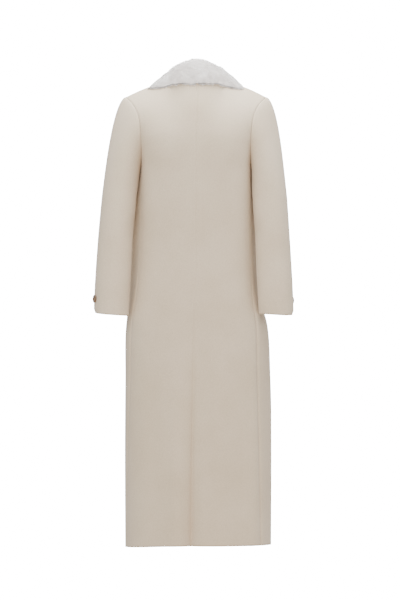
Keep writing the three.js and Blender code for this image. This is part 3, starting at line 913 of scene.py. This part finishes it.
def hairs(word, form):
    rng = np.random.default_rng(HAIR_SEED + HAIR_THIRDS[word])
    j, i, after, s, t = hair_roots(form, HAIR_THIRDS[word], rng)

    def at(grid):
        low, high = mix(grid[j, i], grid[j, after], t), mix(grid[j + 1, i], grid[j + 1, after], t)
        return mix(low, high, s)

    outer = form["outer"]
    root, normal = at(form["skin"]), unit(at(like_edge(form, form["normals"])))
    depth = at(form["deep"][..., None])[:, 0]
    down = unit(at(like_edge(form, np.roll(outer, 1, axis=1) - np.roll(outer, -1, axis=1))))
    aside = unit(np.cross(normal, down))
    round_place = form["place"][i] + t / SECTION_STEPS
    tilt = (HAIR_TILT + HAIR_TILT_SPREAD * rng.normal(size=HAIRS) + waves("tilt", root)) * DEG
    tilt = np.minimum(tilt, HAIR_TILT_MOST * DEG)
    swing = waves("clump", root) + waves("sweep", root) + HAIR_SWING * rng.normal(size=HAIRS)
    parted = bell(root[:, 0] / PARTING_WIDTH) * ease((PARTING_TOP - round_place) / PARTING_FADE)
    outwards = np.sign(root[:, 0] + 0.01) * np.sign(aside[:, 0])
    swing = swing + PARTING_TURN * parted * outwards
    length = np.maximum(HAIR_MIN, depth / np.cos(tilt))
    length *= rng.uniform(*HAIR_LENGTHS, HAIRS) * (1 + waves("length", root))
    length *= 1 - ROLL_SHORTER * bell((round_place - ROLL_AT) / ROLL_WIDTH)
    flow = unit(down + aside * swing[:, None])
    rise, lean = (
        unit(normal * np.cos(tilt * share)[:, None] + flow * np.sin(tilt * share)[:, None])
        for share in HAIR_BEND
    )
    middle = root + rise * (length * 0.5)[:, None]
    tip = middle + lean * (length * 0.5)[:, None]
    points = hair_blades(root, middle, tip, normal, rng)
    first = np.arange(HAIRS)[:, None] * 5
    faces = np.concatenate([first + [0, 1, 3], first + [0, 3, 2], first + [2, 3, 4]], axis=1)
    made = new_mesh(f"fur_hair_{word}", points.reshape(-1, 3) * MM, faces.reshape(-1, 3))
    shading = unit(at(blended(form["normals"], SHADE_BLEND)))
    made.data.normals_split_custom_set_from_vertices(np.repeat(shading, 5, axis=0))
    return made


# Buttons: a dished face with a raised rim and four holes, sewn on with thread
CUFF_BUTTON = {"radius": 11, "thick": 4.2, "up": 42}
CUFF_BUTTON_TURN = {"left": 22, "right": -28}
FRONT_BUTTON = {"radius": 14, "thick": 4.6}
FRONT_BUTTON_HEIGHTS = [-405, -565, -725]
BUTTON_GAP = 0.35
BUTTON_ROUND = 96
BUTTON_PROFILE = [
    [0, 0.55],
    [0.5, 0.6],
    [0.7, 0.82],
    [0.8, 0.95],
    [0.88, 1],
    [0.96, 0.9],
    [1, 0.7],
    [1, 0.35],
    [0.94, 0.14],
    [0.8, 0],
    [0, 0],
]
BUTTON_DISH_ROWS = 25  # fine rows for the holes, then up to the rim
BUTTON_RISE_ROWS = 7
BUTTON_BACK = 4  # last points of the profile, which the holes don't reach
HOLE_AT = 0.21
HOLE_RADIUS = 1.1
HOLE_DEPTH = 0.45  # share of the button's thickness
HOLE_SOFT = 0.25
HOLE_EDGE = 0.4
THREAD = 0.42
THREAD_APART = 0.35
THREAD_POINTS = 13
THREAD_AT = 0.57  # share of the button's thickness
THREAD_UP = 0.75
THREAD_DIP = 1.9
THREAD_AROUND = 8
THREAD_START = (0.31, 0.52, 0.79)  # any direction that no thread runs in
CUFF_STEP = 5


def button(name, size, place, normal):
    r, thick = size["radius"], size["thick"]
    profile = np.array(BUTTON_PROFILE)
    dish = np.linspace(profile[0], profile[1], BUTTON_DISH_ROWS)
    rise = np.linspace(profile[1], profile[2], BUTTON_RISE_ROWS)[1:]
    profile = np.concatenate([dish, rise, profile[3:]])
    angle = np.arange(BUTTON_ROUND) * 2 * math.pi / BUTTON_ROUND
    x = profile[:, :1] * r * np.cos(angle)
    y = profile[:, :1] * r * np.sin(angle)
    z = np.broadcast_to(profile[:, 1:] * thick, x.shape).copy()
    top = np.arange(len(profile))[:, None] < len(profile) - BUTTON_BACK
    holes = [(sx * HOLE_AT * r, sy * HOLE_AT * r) for sx in (-1, 1) for sy in (-1, 1)]
    for hx, hy in holes:
        away = np.hypot(x - hx, y - hy)
        z -= np.where(top, (thick * HOLE_DEPTH) * ease((HOLE_RADIUS + HOLE_SOFT - away) / HOLE_EDGE), 0)
    turn = np.array(Vector(normal).to_track_quat("Z", "Y").to_matrix()).T
    base = np.array(place) + np.array(normal) * BUTTON_GAP
    points = np.stack([x, y, z], axis=-1).reshape(-1, 3) @ turn + base
    quads = grid_quads(len(profile), BUTTON_ROUND, True)[:, [0, 3, 2, 1]]
    disc = welded(new_mesh(f"coat_{name}", points * MM, quads))
    lines = []
    for (ax, ay), (bx, by) in ((holes[0], holes[3]), (holes[1], holes[2])):
        for shift in (-THREAD_APART, THREAD_APART):
            way = np.array([bx - ax, by - ay, 0])
            aside = unit(np.array([-way[1], way[0], 0])) * shift
            t = np.linspace(0, 1, THREAD_POINTS)
            high = thick * THREAD_AT + THREAD_UP - THREAD_DIP * np.abs(2 * t - 1) ** 5
            line = np.stack([ax + way[0] * t + aside[0], ay + way[1] * t + aside[1], high], axis=-1)
            lines.append(line @ turn + base)
    return disc, tubes(f"thread_{name}", lines, THREAD / 2)


def tubes(name, lines, radius):
    points, faces = [], []
    angle = (np.arange(THREAD_AROUND) * 2 * math.pi / THREAD_AROUND)[:, None]
    start = 0
    for line in lines:
        way = unit(np.gradient(line, axis=0))
        side = unit(np.cross(way, unit(np.array(THREAD_START))))
        other = np.cross(way, side)
        ring = line[:, None] + radius * (side[:, None] * np.cos(angle) + other[:, None] * np.sin(angle))
        points.append(ring.reshape(-1, 3))
        faces.append(grid_quads(len(line), THREAD_AROUND, True)[:, [1, 2, 3, 0]] + start)
        start += ring.size // 3
    return new_mesh(name, np.concatenate(points) * MM, np.concatenate(faces))


def cuff_button(word, side):
    z = np.array(CUFF + CUFF_BUTTON["up"], dtype=float)
    angle = CUFF_BUTTON_TURN[word] * DEG
    across = sleeve_ring(side, angle + DEG, z) - sleeve_ring(side, angle - DEG, z)
    up = sleeve_ring(side, angle, z + CUFF_STEP) - sleeve_ring(side, angle, z - CUFF_STEP)
    normal = unit(np.cross(across, up) * side)
    return button(f"cuff_button_{word}", CUFF_BUTTON, sleeve_ring(side, angle, z), normal)


def front_button(number, z):
    z = np.array(float(z))
    phi = turned(-1, np.array(math.pi), z)
    normal = body_normal(phi, z)
    return button(f"front_button_{number}", FRONT_BUTTON, body_point(phi, z) + normal * OVER, normal)


# Materials
def material(name):
    made = bpy.data.materials.new(name)
    made.use_nodes = True
    nodes = made.node_tree.nodes
    shader = nodes["Principled BSDF"]
    return made, nodes, made.node_tree.links, shader


def noise(nodes, links, scale, detail, stretch=(1, 1, 1)):
    """Noise with about as many changes to a metre of the piece as scale says."""
    place = nodes.new("ShaderNodeTexCoord")
    sized = nodes.new("ShaderNodeMapping")
    sized.inputs["Scale"].default_value = stretch
    links.new(place.outputs["Object"], sized.inputs["Vector"])
    made = nodes.new("ShaderNodeTexNoise")
    made.inputs["Scale"].default_value = scale
    made.inputs["Detail"].default_value = detail
    links.new(sized.outputs["Vector"], made.inputs["Vector"])
    return made.outputs["Fac"]


def ramp(nodes, links, source, low_colour, high_colour, spread=0.2):
    made = nodes.new("ShaderNodeValToRGB")
    made.color_ramp.elements[0].position = 0.5 - spread
    made.color_ramp.elements[1].position = 0.5 + spread
    made.color_ramp.elements[0].color = (*low_colour, 1)
    made.color_ramp.elements[1].color = (*high_colour, 1)
    links.new(source, made.inputs["Fac"])
    return made.outputs["Color"]


def multiplied(nodes, links, first, second, amount):
    made = nodes.new("ShaderNodeMix")
    made.data_type = "RGBA"
    made.blend_type = "MULTIPLY"
    made.inputs["Factor"].default_value = amount
    links.new(first, made.inputs["A"])
    links.new(second, made.inputs["B"])
    return made.outputs["Result"]


def bump(nodes, links, height, strength, distance, before=None):
    made = nodes.new("ShaderNodeBump")
    made.inputs["Strength"].default_value = strength
    made.inputs["Distance"].default_value = distance
    links.new(height, made.inputs["Height"])
    if before is not None:
        links.new(before, made.inputs["Normal"])
    return made.outputs["Normal"]


WOOL_LIGHT = (0.75, 0.64, 0.495)
WOOL_DARK = (0.69, 0.58, 0.435)
FIBRE_DARK = (0.86, 0.85, 0.84)
FLECK_DARK = (0.93, 0.925, 0.92)
PLAIN = (1, 1, 1)
FUR_LIGHT = (0.99, 0.985, 0.975)
FUR_DARK = (0.83, 0.8, 0.78)
SKIN_LIGHT = (0.96, 0.95, 0.94)
SKIN_DARK = (0.92, 0.91, 0.9)
LOCK_DARK = (0.78, 0.765, 0.755)
HAIR_THROUGH = 0.05
PAINTED_PILE_GLOW = 0.6  # painted glow, standing in for the light that bounces on inside the pile
HORN_LIGHT = (0.25, 0.15, 0.085)
HORN_DARK = (0.12, 0.065, 0.035)
THREAD_COLOUR = (0.42, 0.34, 0.26)


def wool_material():
    made, nodes, links, shader = material("ivory_wool")
    cloud = ramp(nodes, links, noise(nodes, links, scale=9, detail=3), WOOL_DARK, WOOL_LIGHT)
    fibres = noise(nodes, links, scale=900, detail=3, stretch=(1, 1, 0.35))
    fibre = ramp(nodes, links, fibres, FIBRE_DARK, PLAIN)
    fleck = ramp(nodes, links, noise(nodes, links, scale=260, detail=2), FLECK_DARK, PLAIN, spread=0.15)
    colour = multiplied(nodes, links, cloud, fibre, amount=0.8)
    colour = multiplied(nodes, links, colour, fleck, amount=0.7)
    links.new(colour, shader.inputs["Base Color"])
    naps = noise(nodes, links, scale=1100, detail=2, stretch=(1, 1, 0.3))
    nap = bump(nodes, links, naps, strength=0.35, distance=0.0004)
    felts = noise(nodes, links, scale=300, detail=3)
    felt = bump(nodes, links, felts, strength=0.3, distance=0.0006, before=nap)
    links.new(felt, shader.inputs["Normal"])
    shader.inputs["Roughness"].default_value = 0.93
    shader.inputs["Specular IOR Level"].default_value = 0.18
    shader.inputs["Sheen Weight"].default_value = 0.22
    shader.inputs["Sheen Roughness"].default_value = 0.6
    return made


def fur_material(name, dark, light, through):
    """Light passes on through the hairs, and a painted glow stands in for light that bounces on inside the
    pile, so that fur is bright down to its skin.
    """
    made, nodes, links, shader = material(name)
    cloud = ramp(nodes, links, noise(nodes, links, scale=28, detail=3), dark, light)
    lock = ramp(nodes, links, noise(nodes, links, scale=160, detail=2), LOCK_DARK, PLAIN)
    colour = multiplied(nodes, links, cloud, lock, amount=1)
    links.new(colour, shader.inputs["Base Color"])
    shader.inputs["Roughness"].default_value = 0.8
    shader.inputs["Specular IOR Level"].default_value = 0.2
    shader.inputs["Sheen Weight"].default_value = 1
    shader.inputs["Sheen Roughness"].default_value = 0.5
    glow = nodes.new("ShaderNodeBsdfTranslucent")
    links.new(colour, glow.inputs["Color"])
    both = nodes.new("ShaderNodeMixShader")
    both.inputs["Fac"].default_value = through
    links.new(shader.outputs["BSDF"], both.inputs[1])
    links.new(glow.outputs["BSDF"], both.inputs[2])
    links.new(both.outputs["Shader"], nodes["Material Output"].inputs["Surface"])
    # Painted glow: the fur gives off its own colour as light, for the light that bounces on inside the pile
    links.new(colour, shader.inputs["Emission Color"])
    shader.inputs["Emission Strength"].default_value = PAINTED_PILE_GLOW
    return made


def horn_material():
    made, nodes, links, shader = material("brown_horn")
    grains = noise(nodes, links, scale=90, detail=4, stretch=(1, 1, 3))
    grain = ramp(nodes, links, grains, HORN_DARK, HORN_LIGHT)
    links.new(grain, shader.inputs["Base Color"])
    shader.inputs["Roughness"].default_value = 0.32
    return made


def thread_material():
    made, _, _, shader = material("sewing_thread")
    shader.inputs["Base Color"].default_value = (*THREAD_COLOUR, 1)
    shader.inputs["Roughness"].default_value = 0.8
    return made


# Light and camera
PIXELS_TALL = 600
MM_PER_PIXEL = 2.75
LOOK_AT = Vector((-8.25, 30, -583)) * MM
CAMERA_AWAY = 14.0
SENSOR = 36
FILL = 0.73
FILL_COLOUR = (1, 0.975, 0.935)
BACKDROP = 18
LIGHTS = [  # name, place and target in metres, size, power, colour
    ["top", (-0.1, 0.1, 1.3), (0, 0.02, -0.1), 1.4, 78, (1, 1, 1)],
    ["key", (0.9, 3.3, 0.6), (0, 0, -0.5), 2.5, 95, (1, 0.98, 0.925)],
    ["low", (-0.3, 2.2, -2.2), (0, 0, -1.2), 1.6, 13, (1, 0.5, 0.12)],
    ["side", (-3.2, 0.6, -0.5), (0, 0, -0.6), 2, 30, (1, 0.97, 0.93)],
]


def camera():
    data = bpy.data.cameras.new("camera")
    data.sensor_width = SENSOR
    data.lens = SENSOR * CAMERA_AWAY / (PIXELS_TALL * MM_PER_PIXEL * MM)
    made = bpy.data.objects.new("camera", data)
    made.location = LOOK_AT + Vector((0, CAMERA_AWAY, 0))
    made.rotation_euler = (math.pi / 2, 0, math.pi)
    bpy.context.collection.objects.link(made)
    bpy.context.scene.camera = made


def area_light(name, place, target, size, power, colour):
    data = bpy.data.lights.new(name, "AREA")
    data.size = size
    data.energy = power
    data.color = colour
    made = bpy.data.objects.new(name, data)
    made.location = place
    made.rotation_euler = (Vector(target) - Vector(place)).to_track_quat("-Z", "Y").to_euler()
    bpy.context.collection.objects.link(made)


def lights():
    world = bpy.data.worlds.new("world")
    bpy.context.scene.world = world
    world.use_nodes = True
    nodes, links = world.node_tree.nodes, world.node_tree.links
    fill = nodes["Background"]
    fill.inputs["Color"].default_value = (*FILL_COLOUR, 1)
    fill.inputs["Strength"].default_value = FILL
    seen = nodes.new("ShaderNodeBackground")
    seen.inputs["Color"].default_value = (1, 1, 1, 1)
    seen.inputs["Strength"].default_value = BACKDROP
    path = nodes.new("ShaderNodeLightPath")
    both = nodes.new("ShaderNodeMixShader")
    links.new(path.outputs["Is Camera Ray"], both.inputs["Fac"])
    links.new(fill.outputs["Background"], both.inputs[1])
    links.new(seen.outputs["Background"], both.inputs[2])
    links.new(both.outputs["Shader"], nodes["World Output"].inputs["Surface"])
    for row in LIGHTS:
        area_light(*row)


# The coat
camera()
lights()
wool = wool_material()
fur = fur_material("white_fur", FUR_DARK, FUR_LIGHT, HAIR_THROUGH)
underfur = fur_material("white_underfur", SKIN_DARK, SKIN_LIGHT, 0)
horn = horn_material()
thread = thread_material()


def finish_piece(piece, look, slot_name, *nodes):
    piece.data.materials.append(look)
    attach(piece, "root")
    if nodes:
        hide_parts(*nodes)
    return piece


for word, side in SIDES.items():
    for part in ("back", "front"):
        piece = panel(f"coat_{part}_{word}", part, side)
        finish_piece(piece, wool, "wool", f"{part}_{word}")
    piece = finish_piece(sleeve(f"coat_sleeve_{word}", side), wool, "wool", f"sleeve_{word}")

form = collar_form()
skin = finish_piece(collar_skin(form), underfur, "fur", "fur_collar")
pile = [finish_piece(hairs(word, form), fur, "fur") for word in HAIR_THIRDS]

sewn = {f"cuff_button_{word}": cuff_button(word, side) for word, side in SIDES.items()}
for number, z in enumerate(FRONT_BUTTON_HEIGHTS, 1):
    sewn[f"front_button_{number}"] = front_button(number, z)
for node, (disc, threads) in sewn.items():
    finish_piece(disc, horn, "button", node)
    threads.data.materials.append(thread)
    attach(threads, "root")
